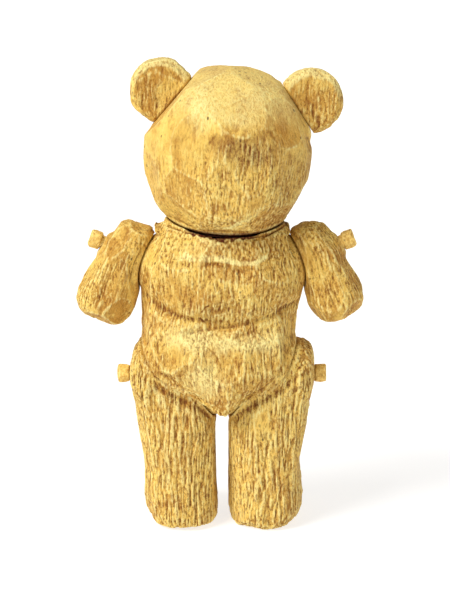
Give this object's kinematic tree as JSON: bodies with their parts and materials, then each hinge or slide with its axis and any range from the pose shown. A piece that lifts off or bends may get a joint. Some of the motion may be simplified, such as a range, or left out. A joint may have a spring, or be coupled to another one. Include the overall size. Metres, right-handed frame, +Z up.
{
  "type": "jointed wooden bear figurine",
  "caption": "Hand-carved wooden bear with a turning head and with arms and legs that swing on wooden pegs.",
  "frame": {"origin": "middle of the bounding box on the floor, between the feet", "axes": "+Z up; the bear faces -Y and its left side is towards +X"},
  "size_m": [0.0918, 0.0579, 0.1509],
  "materials": {
    "carved_wood": "knife-carved, honey stain, pale dry-brushed ridges",
    "peg_wood": "whittled, honey stain",
    "dark_wood": "dark stain, satin",
    "leather": "dark red-brown, rough cut edge"
  },
  "bodies": {
    "torso": {"torso": "carved_wood", "neck_washer": "leather", "shoulder_peg_left": "peg_wood", "shoulder_peg_right": "peg_wood", "hip_peg_left": "peg_wood", "hip_peg_right": "peg_wood"},
    "head": {"head": "carved_wood", "neck_peg": "peg_wood", "ear_left": "carved_wood", "ear_right": "carved_wood", "ear_pin_left": "peg_wood", "ear_pin_right": "peg_wood", "eye_left": "dark_wood", "eye_right": "dark_wood", "nose": "dark_wood"},
    "arm_left": {"arm_left": "carved_wood"},
    "arm_right": {"arm_right": "carved_wood"},
    "leg_left": {"leg_left": "carved_wood"},
    "leg_right": {"leg_right": "carved_wood"}
  },
  "joints": [
    {"name": "neck_turn", "type": "hinge", "parent": "torso", "child": "head", "pos_m": [0, 0.005, 0.0962], "axis": [-0.0698, 0, 0.9976], "continuous": true},
    {"name": "shoulder_left", "type": "hinge", "parent": "torso", "child": "arm_left", "pos_m": [0.0135, 0.005, 0.0844], "axis": [-0.9397, 0, -0.342], "range_deg": [-80, 70]},
    {"name": "shoulder_right", "type": "hinge", "parent": "torso", "child": "arm_right", "pos_m": [-0.0135, 0.005, 0.0844], "axis": [-0.9397, 0, 0.342], "range_deg": [-80, 70]},
    {"name": "hip_left", "type": "hinge", "parent": "torso", "child": "leg_left", "pos_m": [0.0225, 0.005, 0.0502], "axis": [-1, 0, 0], "range_deg": [-10, 90]},
    {"name": "hip_right", "type": "hinge", "parent": "torso", "child": "leg_right", "pos_m": [-0.0225, 0.005, 0.0502], "axis": [-1, 0, 0], "range_deg": [-10, 90]}
  ]
}
